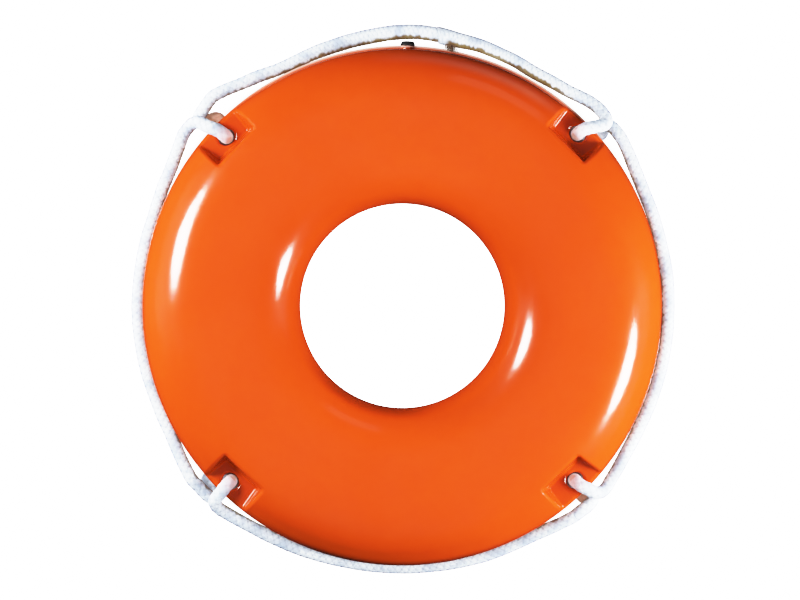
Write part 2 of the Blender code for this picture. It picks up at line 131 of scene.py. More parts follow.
# ------------------------------------------------------------------- materials
class Nodes:
    """A material's node tree, with short calls to add and join nodes."""

    def __init__(self, name):
        self.material = bpy.data.materials.new(name)
        self.material.use_nodes = True
        self.tree = self.material.node_tree
        self.shader = self.tree.nodes["Principled BSDF"]

    def add(self, kind, **values):
        n = self.tree.nodes.new(kind)
        for key, value in values.items():
            if key in n.inputs:
                n.inputs[key].default_value = value
            else:
                setattr(n, key, value)
        return n

    def join(self, a, b):
        self.tree.links.new(a, b)

    def put(self, **values):
        for key, value in values.items():
            self.shader.inputs[key.replace("_", " ")].default_value = value

    def place(self):
        return self.add("ShaderNodeTexCoord").outputs["Object"]

    def noise(self, at, scale, detail=3.0, rough=0.5):
        n = self.add("ShaderNodeTexNoise", Scale=scale, Detail=detail, Roughness=rough)
        self.join(at, n.inputs["Vector"])
        return n.outputs["Fac"]

    def ramp(self, value, stops):
        n = self.add("ShaderNodeValToRGB")
        while len(n.color_ramp.elements) < len(stops):
            n.color_ramp.elements.new(0.5)
        for e, (at, colour) in zip(n.color_ramp.elements, stops):
            e.position, e.color = at, (*colour, 1.0) if len(colour) == 3 else colour
        self.join(value, n.inputs["Fac"])
        return n.outputs["Color"]

    def span(self, value, low, high, to_low=0.0, to_high=1.0):
        n = self.add("ShaderNodeMapRange")
        for key, x in (("From Min", low), ("From Max", high), ("To Min", to_low), ("To Max", to_high)):
            n.inputs[key].default_value = x
        self.join(value, n.inputs["Value"])
        return n.outputs["Result"]

    def mix(self, share, a, b):
        n = self.add("ShaderNodeMix", data_type="RGBA")
        self.join(share, n.inputs[0])
        for socket, x in ((n.inputs[6], a), (n.inputs[7], b)):
            if isinstance(x, tuple):
                socket.default_value = (*x, 1.0)
            else:
                self.join(x, socket)
        return n.outputs[2]

    def math(self, kind, a, b=None):
        n = self.add("ShaderNodeMath", operation=kind)
        for socket, x in zip(n.inputs, (a, b)):
            if x is None:
                continue
            if isinstance(x, (int, float)):
                socket.default_value = x
            else:
                self.join(x, socket)
        return n.outputs[0]

    def bump(self, height, strength, distance, before=None):
        n = self.add("ShaderNodeBump", Strength=strength, Distance=distance)
        self.join(height, n.inputs["Height"])
        if before is not None:
            self.join(before, n.inputs["Normal"])
        return n.outputs["Normal"]

    def attribute(self, name):
        return self.add("ShaderNodeAttribute", attribute_name=name).outputs["Fac"]


def orange_plastic():
    m = Nodes("orange_plastic")
    at = m.place()
    cloudy = m.noise(at, 9.0, 4.0, 0.55)
    fine = m.noise(at, 70.0, 3.0, 0.6)
    colour = m.ramp(cloudy, [(0.30, (0.540, 0.0578, 0.0048)), (0.70, (0.582, 0.0652, 0.0056))])
    specks = m.span(fine, 0.35, 0.70, 0.0, 0.22)
    colour = m.mix(specks, colour, (0.500, 0.0506, 0.0043))
    # painted shade: the colour goes to near-black red where the painted shade attribute is set
    colour = m.mix(m.attribute("painted_shade"), colour, (0.120, 0.014, 0.003))
    # painted highlight and sheen: a pale pink on the lip round the top and a faint pale band inside the rim at the
    # upper right
    colour = m.mix(m.attribute("painted_sheen"), colour, (0.84, 0.56, 0.47))
    m.join(colour, m.shader.inputs["Base Color"])
    wear = m.noise(at, 24.0, 5.0, 0.6)
    m.join(m.span(wear, 0.3, 0.75, 0.12, 0.19), m.shader.inputs["Roughness"])
    peel = m.noise(at, 900.0, 2.0, 0.5)
    waves = m.noise(at, 60.0, 2.0, 0.5)
    n = m.bump(peel, 0.10, 0.0002)
    n = m.bump(waves, 0.10, 0.0012, n)
    m.join(n, m.shader.inputs["Normal"])
    m.put(Specular_IOR_Level=0.62, IOR=1.5)
    # what other surfaces receive from it is duller, so that the white line keeps its colour
    dull = m.add("ShaderNodeBsdfDiffuse", Color=(0.38, 0.12, 0.06, 1.0))
    either = m.add("ShaderNodeMixShader")
    m.join(m.add("ShaderNodeLightPath").outputs["Is Diffuse Ray"], either.inputs[0])
    m.join(m.shader.outputs[0], either.inputs[1])
    m.join(dull.outputs[0], either.inputs[2])
    m.join(either.outputs[0], m.tree.nodes["Material Output"].inputs["Surface"])
    return m.material


def foam():
    m = Nodes("core_foam")
    at = m.place()
    m.join(m.ramp(m.noise(at, 160.0, 4.0), [(0.3, (0.66, 0.56, 0.34)), (0.7, (0.84, 0.76, 0.52))]),
           m.shader.inputs["Base Color"])
    m.join(m.bump(m.noise(at, 900.0, 3.0), 0.5, 0.0006), m.shader.inputs["Normal"])
    m.put(Roughness=0.9)
    return m.material


def black_plastic():
    m = Nodes("plug_plastic")
    at = m.place()
    m.join(m.ramp(m.noise(at, 300.0, 3.0), [(0.3, (0.010, 0.010, 0.011)), (0.75, (0.020, 0.020, 0.022))]),
           m.shader.inputs["Base Color"])
    m.join(m.bump(m.noise(at, 1500.0, 3.0), 0.3, 0.0003), m.shader.inputs["Normal"])
    m.put(Roughness=0.42)
    return m.material


def white_line():
    m = Nodes("braided_line")
    at = m.place()
    cloudy = m.noise(at, 45.0, 4.0, 0.6)
    yarn = m.noise(at, 420.0, 3.0, 0.6)
    white = m.ramp(cloudy, [(0.38, (0.40, 0.48, 0.60)), (0.56, (0.72, 0.80, 0.87))])
    white = m.mix(m.span(yarn, 0.45, 0.70, 0.0, 0.65), white, (0.36, 0.41, 0.53))
    # painted shade: the braid's grooves go darker blue-grey, by how deep each vertex lies
    white = m.mix(m.span(m.attribute("crease_shade"), 0.20, 0.70, 0.0, 0.90), white, (0.23, 0.26, 0.34))
    # painted shade: a grey-lilac line on the side of the line that faces outwards
    white = m.mix(m.attribute("edge_shade"), white, (0.20, 0.20, 0.34))
    brown = m.ramp(cloudy, [(0.35, (0.105, 0.055, 0.016)), (0.65, (0.20, 0.145, 0.055))])
    # painted shade with orange bounce light: the rear legs get a tan colour
    white = m.mix(m.attribute("tan"), white, (0.62, 0.25, 0.11))
    # brown on the side of the line towards the ring: partly dirt, partly painted shade and orange bounce
    white = m.mix(m.attribute("dirt_and_shade"), white, brown)
    m.join(white, m.shader.inputs["Base Color"])
    # painted light: the line glows with an emission of 0.20 everywhere in place of fill light, and up to 0.62 with a
    # pink tint near the eyes
    white = m.mix(m.span(m.attribute("glow"), 0.0, 1.0, 0.0, 0.40), white, (0.95, 0.52, 0.44))
    m.join(white, m.shader.inputs["Base Color"])
    m.join(white, m.shader.inputs["Emission Color"])
    m.join(m.span(m.attribute("glow"), 0.0, 1.0, 0.20, 0.62), m.shader.inputs["Emission Strength"])
    fibres = m.noise(at, 2200.0, 2.0, 0.6)
    m.join(m.bump(fibres, 0.35, 0.0003), m.shader.inputs["Normal"])
    m.put(Roughness=0.62, Specular_IOR_Level=0.3, Subsurface_Weight=0.25, Subsurface_Radius=(1.0, 1.0, 1.0),
          Subsurface_Scale=0.0015)
    return m.material


def brown_fray():
    m = Nodes("frayed_end")
    at = m.place()
    m.join(m.ramp(m.noise(at, 500.0, 3.0), [(0.3, (0.08, 0.040, 0.020)), (0.7, (0.26, 0.16, 0.090))]),
           m.shader.inputs["Base Color"])
    m.put(Roughness=0.8, Sheen_Weight=0.2)
    return m.material


ORANGE, FOAM, BLACK, LINE, FRAY = (orange_plastic(), foam(), black_plastic(), white_line(),
                                   brown_fray())


def add_mesh(name, verts, faces, material, smooth=True, recalc=True):
    """One mesh object. verts is an (n, 3) array in metres."""
    me = bpy.data.meshes.new(name)
    me.from_pydata([tuple(v) for v in np.asarray(verts, float).tolist()], [], faces)
    if recalc:
        bm = bmesh.new()
        bm.from_mesh(me)
        bmesh.ops.recalc_face_normals(bm, faces=bm.faces[:])
        bm.to_mesh(me)
        bm.free()
    if smooth:
        me.shade_smooth()
    me.materials.append(material)
    o = bpy.data.objects.new(name, me)
    scene.collection.objects.link(o)
    return o


# ---------------------------------------------------------- the moulded ring
def rounded_max(a, b, r):
    """The larger of two distances, with the edge between them rounded to radius r."""
    return np.minimum(np.maximum(a, b), -r) + np.hypot(np.maximum(a + r, 0), np.maximum(b + r, 0))


def body_distance(rho, z):
    side = rho > MIDDLE
    p, q = np.where(side, OUT_P, IN_P), np.where(side, OUT_Q, IN_Q)
    u = np.maximum(np.abs(rho - MIDDLE) / A - LAND, 0) / (1 - LAND)
    v = z / HALF_T
    f = u ** p + v ** q - 1
    steep = np.hypot(p * u ** (p - 1) / (A * (1 - LAND)), q * v ** (q - 1) / HALF_T)
    return f / np.maximum(steep, 1e-3)


def pocket_distance(x, y, z, steep=False):
    c, s = math.cos(math.radians(10)), math.sin(math.radians(10))
    lean = 1 / math.hypot(1, POCKET_FLARE)
    back = (POCKET_Y - y) * c - (z - POCKET_FLOOR) * s
    half = POCKET_HALF + POCKET_FLARE * (y - POCKET_Y)
    ends = (np.abs(x) - half) * lean * c - (z - POCKET_FLOOR) * s
    if steep:                          # this pocket's anticlockwise end has hardly any draft
        ends = np.where(x > 0, (np.abs(x) - half - 3.0) * lean, ends)
    return rounded_max(rounded_max(back, ends, FOOT_FILLET), POCKET_FLOOR - z, FOOT_FILLET)


def height(azimuth, rho, with_eye=False):
    """Height of the ring's front surface above the equator, in mm, found by halving."""
    azimuth, rho = np.broadcast_arrays(np.asarray(azimuth, float), np.asarray(rho, float))
    low, high = np.zeros(rho.shape), np.full(rho.shape, 60.0)
    near = []
    for corner, (pocket, eye, mid) in POCKETS.items():
        turn = (azimuth - pocket + 180) % 360 - 180
        mask = (np.abs(turn) < 12) & (rho > 200)
        if mask.any():
            t = np.radians(turn[mask])
            e = np.radians((azimuth[mask] - eye + 180) % 360 - 180)
            near.append((mask, rho[mask] * np.sin(t), rho[mask] * np.cos(t),
                         rho[mask] * np.sin(e), rho[mask] * np.cos(e) - mid, corner == "bottom_right"))
    for _ in range(34):
        z = (low + high) / 2
        f = body_distance(rho, z)
        for mask, x, y, ex, ey, steep in near:
            g = rounded_max(f[mask], -pocket_distance(x, y, z[mask], steep), TOP_FILLET)
            if with_eye:
                k = np.hypot(ex / EYE_HALF, ey / EYE_LONG)
                d = k * (k - 1) / np.maximum(np.hypot(ex / EYE_HALF ** 2, ey / EYE_LONG ** 2), 1e-9)
                g = rounded_max(g, -d, EYE_FILLET)
            f[mask] = g
        inside = f < 0
        low, high = np.where(inside, z, low), np.where(inside, high, z)
    return low


def waviness(x, y, z):
    """A few tenths of a millimetre of unevenness, as a blow moulding has, fading out near the equator."""
    w = (0.16 * np.sin(x / 33 + 1.3) * np.cos(y / 29 + 0.4) + 0.10 * np.sin((x + y) / 21 + 2.0)
         + 0.08 * np.cos((x - 1.4 * y) / 17 + 0.7) + 0.05 * np.sin(x / 9 + 0.3) * np.sin(y / 11))
    return (w - 0.39) * np.clip((np.abs(z) - 9) / 14, 0, 1)


def ring_body():
    # lines of azimuth, close together at the pockets' end walls
    azimuths = []
    order = sorted(POCKETS.values())
    for k, (c, _, _) in enumerate(order):
        for low, high, step in ((-7.6, -4.2, 0.11), (-4.2, 4.2, 0.42), (4.2, 7.6, 0.11)):
            n = round((high - low) / step)
            azimuths += [c + low + (high - low) * i / n for i in range(n)]
        until = (order[k + 1][0] if k + 1 < len(order) else order[0][0] + 360) - 7.6
        n = round((until - c - 7.6) / 1.2)
        azimuths += [c + 7.6 + (until - c - 7.6) * i / n for i in range(n)]
    azimuths = [a for a in azimuths if abs(a - PLUG_AZIMUTH) > 1.95]
    azimuths = np.array(sorted(azimuths + [PLUG_AZIMUTH + 0.13 * k for k in range(-14, 15)]))

    # lines of radius, from the hole to the rim
    inner = [MIDDLE - A * (LAND + (1 - LAND) * math.cos(math.radians(t)) ** (2 / IN_P))
             for t in (1.4, 3, 5, 7.5, 10.5, 14, 18, 22, 26.5, 31, 36, 41, 46, 51, 56, 61, 66, 71, 76, 81, 85, 89)]
    flat = [MIDDLE - A * LAND * 0.6, MIDDLE, MIDDLE + A * LAND * 0.6]
    outer = [MIDDLE + A * (LAND + (1 - LAND) * math.cos(math.radians(t)) ** (2 / OUT_P))
             for t in (89, 85, 81, 77, 73, 70)]
    walls = list(np.arange(212.4, 228.2, 0.5)) + list(np.arange(228.9, 244.3, 0.95))
    rim = [244.5, 245.1, 245.7, 246.2, 246.7, 247.1, 247.45, 247.75, 247.95, 248.08, 248.18]
    rho = np.array([r for r in inner + flat + outer if r < 212.0] + walls + rim)
    z = height(azimuths[:, None], rho[None, :])
    n_az, n_rho = z.shape
    ang = np.radians(azimuths)
    x, y = np.cos(ang)[:, None] * rho, np.sin(ang)[:, None] * rho
    front = np.stack([x, y, z + waviness(x, y, z)], -1)
    back = np.stack([x, y, -z - waviness(x + 400, y - 150, z)], -1)

    def around(rows):
        return np.stack([np.stack([np.cos(ang) * r, np.sin(ang) * r, np.full(n_az, h)], -1)
                         for r, h in rows], 1)

    ledge = [(248.27, 1.75), (248.36, 1.30), (248.62, 1.10), (249.4, 1.02), (250.25, 0.95),
             (250.62, 0.72), (250.78, 0.36), (250.8, 0.0), (250.78, -0.36), (250.62, -0.72),
             (250.25, -0.95), (249.4, -1.02), (248.62, -1.10), (248.36, -1.30), (248.27, -1.75)]
    from_plug = (azimuths - PLUG_AZIMUTH) * 250.8 * math.pi / 180
    boss = np.sqrt(np.clip(5.75 ** 2 - from_plug ** 2, 0, None))
    seam = [(98.92, -1.2), (98.86, -0.6), (98.62, -0.35), (98.58, 0.0), (98.62, 0.35), (98.86, 0.6),
            (98.92, 1.2)]
    lip = around(ledge)
    lip[..., 2] *= np.maximum(1, boss / 1.1)[:, None]
    loop = np.concatenate([front, lip, back[:, ::-1], around(seam)], 1)
    m = loop.shape[1]
    verts = loop.reshape(-1, 3)
    front_of = np.arange(n_az)[:, None] * m + np.arange(n_rho)
    back_of = np.arange(n_az)[:, None] * m + (n_rho + len(ledge) + n_rho - 1 - np.arange(n_rho))

    # the patches round the eyes
    open_cells = np.zeros((n_az, m), bool)
    patches = []
    j0 = int(np.argmin(np.abs(rho - 225.3)))
    j1 = n_rho - 1
    for corner, (pocket, eye, mid) in POCKETS.items():
        turn = (azimuths - eye + 180) % 360 - 180
        inside = np.nonzero(np.abs(turn) < 3.75)[0]
        i0, i1 = inside.min(), inside.max()
        patches.append((eye, mid, i0, i1))
        for i in range(i0, i1):
            for j in range(j0, j1):
                open_cells[i, j] = True
                open_cells[i, n_rho + len(ledge) + n_rho - 2 - j] = True
    i, j = np.meshgrid(np.arange(n_az), np.arange(m), indexing="ij")
    keep = ~open_cells
    i, j = i[keep], j[keep]
    k, l = (i + 1) % n_az, (j + 1) % m
    faces = np.stack([i * m + j, i * m + l, k * m + l, k * m + j], -1).tolist()

    blocks, count = [verts], len(verts)
    for eye, mid, i0, i1 in patches:
        cells = ([(i, j0) for i in range(i0, i1)] + [(i1, j) for j in range(j0, j1)]
                 + [(i, j1) for i in range(i1, i0, -1)] + [(i0, j) for j in range(j1, j0, -1)])
        border = np.array([[rho[j] * math.sin(math.radians(azimuths[i] - eye)),
                            rho[j] * math.cos(math.radians(azimuths[i] - eye)) - mid] for i, j in cells])
        n = len(border)
        theta = np.arctan2(border[:, 1], border[:, 0])
        oval = 1 / np.sqrt((np.cos(theta) / EYE_HALF) ** 2 + (np.sin(theta) / EYE_LONG) ** 2)
        way = np.stack([np.cos(theta), np.sin(theta)], -1)
        rings = []
        last = way * (oval + 3.0)[:, None]
        for share in (0.75, 0.5, 0.28, 0.1, 0.0):
            rings.append(last + (border - last) * share)
        for phi in (78, 67, 56, 45, 34, 22, 10):
            rings.append(way * (oval + EYE_FILLET * (1 - math.cos(math.radians(phi))))[:, None])
        rings.append(way * oval[:, None])
        solids = []
        for r, flat_ring in enumerate(rings):
            lx, ly = flat_ring[:, 0], flat_ring[:, 1] + mid
            radius, az = np.hypot(lx, ly), eye + np.degrees(np.arctan2(lx, ly))
            h = height(az, np.minimum(radius, 248.27), True)
            a = np.radians(az)
            solids.append(np.stack([np.cos(a) * radius, np.sin(a) * radius, h], -1))
        middle = solids[-1].copy()
        middle[:, 2] = 0
        half_way = solids[-1].copy()
        half_way[:, 2] *= 0.5
        solids.append(half_way)
        lower = [s * np.array([1, 1, -1]) for s in reversed(solids)]
        whole = solids + [middle] + lower
        ids = [np.array([front_of[i, j] for i, j in cells])]
        for s in whole:
            blocks.append(s)
            ids.append(np.arange(count, count + n))
            count += n
        ids.append(np.array([back_of[i, j] for i, j in cells]))
        for a, b in zip(ids, ids[1:]):
            faces += np.stack([a, b, np.roll(b, -1), np.roll(a, -1)], -1).tolist()
    verts = np.concatenate(blocks)
    verts[:, 2] += HALF_T
    # the lip stands out round the top, and elsewhere the body reaches almost to the rim
    r = np.hypot(verts[:, 0], verts[:, 1])
    az = np.degrees(np.arctan2(verts[:, 1], verts[:, 0])) % 360
    full = 1 - np.clip((az - 38) / 14, 0, 1) * np.clip((136 - az) / 14, 0, 1)
    t = np.clip((r - 238.0) / (BODY_R - 238.0), 0, 1)
    moved = r + 2.1 * full * t * t * (3 - 2 * t)
    moved = np.where(r > BODY_R, BODY_R + 2.1 * full + (r - BODY_R) * (1.3 - 1.0 * full), moved)
    verts[:, :2] *= (moved / r)[:, None]
    o = add_mesh("ring_body", verts / 1000, faces, ORANGE)
    # painted shade: near-black red in the groove beside the lip, under the bottom edge and at the lower edge of the
    # hole; a painted highlight makes the lip round the top paler, with a faint painted sheen below it
    top = np.clip((az - 34) / 14, 0, 1) * np.clip((134 - az) / 16, 0, 1)
    right = np.clip((az - 28) / 12, 0, 1) * np.clip((96 - az) / 18, 0, 1)
    low = np.clip((az - 236) / 16, 0, 1) * np.clip((300 - az) / 16, 0, 1)
    edge = (r <= BODY_R + 0.1) * (0.32 * top * np.clip((r - 245.2) / 2.6, 0, 1)
                                  + 0.48 * right * np.clip((r - 241.5) / 5.5, 0, 1) ** 1.2)
    edge *= np.clip((np.abs(az - 44.4) - 6.5) / 2.0, 0, 1)      # not in the pocket
    painted_shade = edge + np.clip((r - 243.5) / 5.0, 0, 1) * 0.85 * low
    # painted shade at the lower part of the hole's edge
    painted_shade += np.clip((108.5 - r) / 5.0, 0, 1) * 0.40 * np.clip((az - 205) / 25, 0, 1) * np.clip((288 - az) / 20, 0, 1)
    painted_sheen = np.clip((r - 249.2) / 0.6, 0, 1) * 0.95 * top
    # painted sheen: a faint pale band about 237 mm out, towards the upper right
    painted_sheen += 0.085 * np.exp(-((r - 237.0) / 4.2) ** 2) * np.clip((az - 50) / 8, 0, 1) * np.clip((98 - az) / 24, 0, 1)
    for key, values in (("painted_shade", painted_shade), ("painted_sheen", painted_sheen)):
        a = o.data.attributes.new(key, "FLOAT", "POINT")
        a.data.foreach_set("value", values.astype(np.float32))
    return o


body = ring_body()
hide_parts("ring_shell")
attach(body, "ring")

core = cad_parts["foam_core"]
core.data.materials.clear()
core.data.materials.append(FOAM)


# ------------------------------------------------------------------- the plug
def plug_piece(count=48):
    a = math.radians(PLUG_AZIMUTH)
    out = np.array((math.cos(a), math.sin(a), 0.0))
    along, up = np.array((-math.sin(a), math.cos(a), 0.0)), np.array((0.0, 0.0, 1.0))
    d = RIM_R
    profile = [(BODY_R - 11.4, 3.0), (BODY_R - 11.2, 3.6), (BODY_R - 8.2, 5.6), (BODY_R - 6.8, 5.7),
               (BODY_R - 6.6, 5.5), (BODY_R - 6.0, 4.7), (BODY_R - 5.6, 4.6), (d + 0.85, 4.6),
               (d + 0.90, 4.8), (d + 0.90, 6.85), (d + 0.98, 7.02), (d + 1.15, 7.10), (d + 1.70, 7.10),
               (d + 1.90, 7.05), (d + 2.10, 6.90), (d + 4.10, 6.10), (d + 4.40, 5.95), (d + 4.60, 5.65),
               (d + 4.72, 5.25), (d + 4.75, 4.7), (d + 4.75, 3.5), (d + 4.65, 3.2), (d + 4.1, 3.05),
               (d + 4.0, 2.8), (d + 4.0, 0.6)]
    verts = []
    for dist, r in profile:
        for i in range(count):
            t = 2 * math.pi * i / count
            verts.append((out * dist + (along * math.cos(t) + up * math.sin(t)) * r
                          + np.array((0, 0, HALF_T))) / 1000)
    faces = [[k * count + i, k * count + (i + 1) % count, (k + 1) * count + (i + 1) % count,
              (k + 1) * count + i] for k in range(len(profile) - 1) for i in range(count)]
    faces += [list(range(count)), [(len(profile) - 1) * count + i for i in range(count)]]
    return add_mesh("plug", verts, faces, BLACK)


plug = plug_piece()
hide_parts("filler_plug")
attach(plug, "ring")


# --------------------------------------------------------------- the grab line
def through_eye(corner):
    _, e, mid = POCKETS[corner]
    r = mid + EYE_SHIFT
    rear, front = HITCH_IN[corner][-1][0], HITCH_OUT[corner][0][0]
    w = POCKET_FLOOR
    return [(e + 0.75 * (rear - e), 250.0, -w - 7.2), (e + 0.28 * (rear - e), 243.8, -w - 7.1),
            (e, r + 1.9, -w - 4.7), (e, r + 0.1, -w + 0.5), (e, r - 0.1, 0.0),
            (e, r + 0.1, w - 0.5), (e, r + 1.9, w + 4.7),
            (e + 0.15 * (front - e), 243.8, w + 7.0), (e + 0.6 * (front - e), 250.2, w + 7.0)]


def whole_route():
    """The closed route of the line from the top loop's first pivot, and the places of its pivots."""
    rows, marks = [], []
    for name in ("top", "left", "bottom", "right"):
        first, last, middle = LOOPS[name]
        marks.append(("loop_" + name, len(rows)))
        rows += [HITCH_OUT[first][-1]] + middle
        marks.append(("hitch_" + last, len(rows)))
        rows += HITCH_IN[last] + through_eye(last) + HITCH_OUT[last][:-1]
    return [on_ring(*r) for r in rows], marks


def closed_curve(points, per=24):
    """A smooth closed curve (centripetal Catmull-Rom) through the points, per steps in each span."""
    n, out = len(points), []
    for i in range(n):
        q = [points[(i + k) % n] for k in (-1, 0, 1, 2)]
        t = [0.0]
        for k in range(3):
            t.append(t[-1] + max(np.linalg.norm(q[k + 1] - q[k]), 1e-9) ** 0.5)
        for s in range(per):
            x = t[1] + (t[2] - t[1]) * s / per
            a = [(q[k] * (t[k + 1] - x) + q[k + 1] * (x - t[k])) / (t[k + 1] - t[k]) for k in range(3)]
            b = [(a[k] * (t[k + 2] - x) + a[k + 1] * (x - t[k])) / (t[k + 2] - t[k]) for k in range(2)]
            out.append((b[0] * (t[2] - x) + b[1] * (x - t[1])) / (t[2] - t[1]))
    return np.array(out)


PER = 24
controls, marks = whole_route()
fine = closed_curve(controls, PER)
azimuth_fine = np.degrees(np.arctan2(fine[:, 1], fine[:, 0])) % 360
top_end = dict(marks)["hitch_top_left"] * PER
seam_at = int(np.argmin(np.abs(azimuth_fine[:top_end] - SPLICE_AZIMUTH)))
fine = np.roll(fine, -seam_at, axis=0)
fine = np.vstack([fine, fine[:1]])
along = np.concatenate([[0], np.cumsum(np.linalg.norm(np.diff(fine, axis=0), axis=1))]) * 1000
cuts = sorted([(((k * PER - seam_at) % (len(fine) - 1)), name) for name, k in marks])
# the runs between the cuts: the first one starts at the seam and the last one ends there
names, stops = ["top_left_run"], [0.0]
for k, name in cuts:
    stops.append(along[k])
    names.append(name if name != "loop_top" else "top_right_run")
stops.append(along[-1])
STEP = 0.75
stations, spans = [0.0], []
for name, a, b in zip(names, stops, stops[1:]):
    n = max(4, round((b - a) / STEP))
    first = len(stations) - 1
    stations += [a + (b - a) * (i + 1) / n for i in range(n)]
    spans.append((name, first, len(stations) - 1))
stations = np.array(stations)
centre = np.stack([np.interp(stations, along, fine[:, k]) for k in range(3)], -1)
# frames along the line: tangents, and normals carried on from the first one
tangent = np.gradient(centre, axis=0)
tangent /= np.linalg.norm(tangent, axis=1)[:, None]
normal = np.zeros_like(centre)
normal[0] = np.cross(tangent[0], (0, 0, 1))
normal[0] /= np.linalg.norm(normal[0])
for i in range(1, len(centre)):
    v = normal[i - 1] - tangent[i] * np.dot(normal[i - 1], tangent[i])
    normal[i] = v / np.linalg.norm(v)
binormal = np.cross(tangent, normal)
line_length = along[-1]

SIDES = 48
STRANDS = 4
azimuth_line = np.degrees(np.arctan2(centre[:, 1], centre[:, 0])) % 360
from_seam = np.where(stations < line_length / 2, stations, stations - line_length)   # mm, positive to the left


def smoothstep(x, a, b):
    t = np.clip((x - a) / (b - a), 0, 1)
    return t * t * (3 - 2 * t)


def swell():
    d = azimuth_line - SPLICE_AZIMUTH
    right = 1 + (SPLICE_SWELL + SPLICE_BULGE) * np.clip(1 + d / 15.0, 0, 1) ** 1.3
    left = 1 + SPLICE_SWELL * np.clip((34.0 - d) / 14.0, 0, 1)
    near = np.abs(from_seam) < 200
    return np.where(near & (from_seam < 0), right, np.where(near & (from_seam >= 0), left, 1.0))


thick = swell()
# axial distance between two strands of a family: short where the line is thick or worked
pitch = np.full(len(stations), 6.8)
pitch -= 2.4 * (1 - smoothstep(from_seam, 120, 200)) * (from_seam >= 0)
pitch -= 2.9 * smoothstep(from_seam, -110, -70) * (from_seam < 0)
phase = np.concatenate([[0], np.cumsum(np.diff(stations) / ((pitch[1:] + pitch[:-1]) / 2))])
bulk = np.full(len(stations), 0.62)
bulk -= 0.20 * (1 - smoothstep(from_seam, 120, 200)) * (from_seam >= 0)
bulk -= 0.30 * smoothstep(from_seam, -110, -70) * (from_seam < 0)


def value_noise(x, seed):
    """Smooth noise from -1 to 1 along x."""
    table = np.random.default_rng(seed).uniform(-1, 1, 4096)
    k = np.floor(x).astype(int)
    f = x - k
    f = f * f * (3 - 2 * f)
    return table[k % 4096] * (1 - f) + table[(k + 1) % 4096] * f


def braid(first, last, start_shift=0.0):
    """Rings of vertices from station first to last, with how deep each is, how brown (dirt and painted shade) and how
    much painted lilac edge shade it gets.
    """
    rows = np.arange(first, last + 1)
    theta = 2 * math.pi * np.arange(SIDES) / SIDES
    th, ph = np.meshgrid(theta, phase[rows])
    u, v = STRANDS * th / (2 * math.pi) + ph, -STRANDS * th / (2 * math.pi) + ph
    i, j = np.round(u), np.round(v)
    fu, fv = u - i, v - j

    def profile(f):
        whole = np.sqrt(np.clip(1 - (1.72 * f) ** 2, 0, 1))
        two = np.sqrt(np.clip(1 - ((np.abs(f) - 0.25) * 3.4) ** 2, 0, 1))
        return 0.55 * whole + 0.45 * two

    sign = np.where((i + j) % 2 == 0, 1.0, -1.0)
    up_a = 0.5 * np.cos(np.pi * fv) * sign
    up_b = -0.5 * np.cos(np.pi * fu) * sign
    high = np.maximum(up_a + profile(fu), up_b + profile(fv))
    high = np.clip(high, 0.0, 1.5)
    s = stations[rows]
    lumps = 0.16 * value_noise(s / 23.0, 3) + 0.10 * value_noise(s / 7.0, 4)
    r = ROPE_R * thick[rows][:, None] + bulk[rows][:, None] * (high - 0.95) + lumps[:, None] + 0.10
    side = np.cos(th)[..., None] * normal[rows][:, None] + np.sin(th)[..., None] * binormal[rows][:, None]
    out = centre[rows].copy()
    out[:, 2] = 0
    out /= np.linalg.norm(out, axis=1)[:, None]
    outward = (side * out[:, None]).sum(-1)
    patchy = 0.65 + 0.35 * value_noise(s / 31.0, 11)[:, None]
    ragged = 0.13 * value_noise(s / 2.3, 21)[:, None] + 0.12 * value_noise(s / 6.1, 22)[:, None]
    az = azimuth_line[rows][:, None]
    top = smoothstep(az, 49, 57) * (1 - smoothstep(az, 112, 126))
    right = smoothstep(az, 50, 60) * (1 - smoothstep(az, 80, 82))
    # brown on the inward-facing side, heavier on the top loop: partly dirt, partly painted shade
    stain_and_shade = smoothstep(-outward + ragged, 0.75 - 0.30 * top - 0.14 * right, 0.92 - 0.15 * top - 0.16 * right)
    stain_and_shade = stain_and_shade * (1 - 0.92 * np.exp(-((az - 81.3) / 1.1) ** 4))      # clean where the splice closes
    dirt_and_shade = stain_and_shade * (0.70 + 0.20 * top + 0.10 * patchy)
    # painted shade with orange bounce light: the rear legs behind the rim at the hitches near azimuths 136 and 313 get
    # a tan colour
    low = (centre[rows][:, 2] < (HALF_T - 8.5) / 1000)[:, None]
    behind = low & (np.hypot(centre[rows][:, 0], centre[rows][:, 1]) > 0.2505)[:, None]
    tan = np.where(behind & (((az > 130) & (az < 142)) | ((az > 309) & (az < 316))), 0.80, 0.0) * np.ones_like(outward)
    # painted shade along the outward-facing side of the line
    edge_shade = smoothstep(outward, 0.72, 0.94) * 0.95
    # painted bounce light: a pink tint and extra emission where the line comes out of an eye, standing in for the
    # light and colour that the moulding throws on it
    glow = np.zeros_like(outward)
    for _, eye_azimuth, eye_radius in POCKETS.values():
        eye = np.asarray(on_ring(eye_azimuth, eye_radius))[:2]
        far = np.linalg.norm(centre[rows][:, :2] - eye, axis=1)[:, None]
        glow += np.clip(1 - (far - 0.001) / 0.011, 0, 1) * np.clip((centre[rows][:, 2:3] - HALF_T / 1000 + 0.008) / 0.008, 0, 1)
    return {"centre": centre[rows], "side": side, "r": r, "depth": 1 - high / 1.5, "dirt_and_shade": dirt_and_shade,
            "edge_shade": edge_shade, "tan": tan, "glow": glow, "rows": rows, "outward": outward}


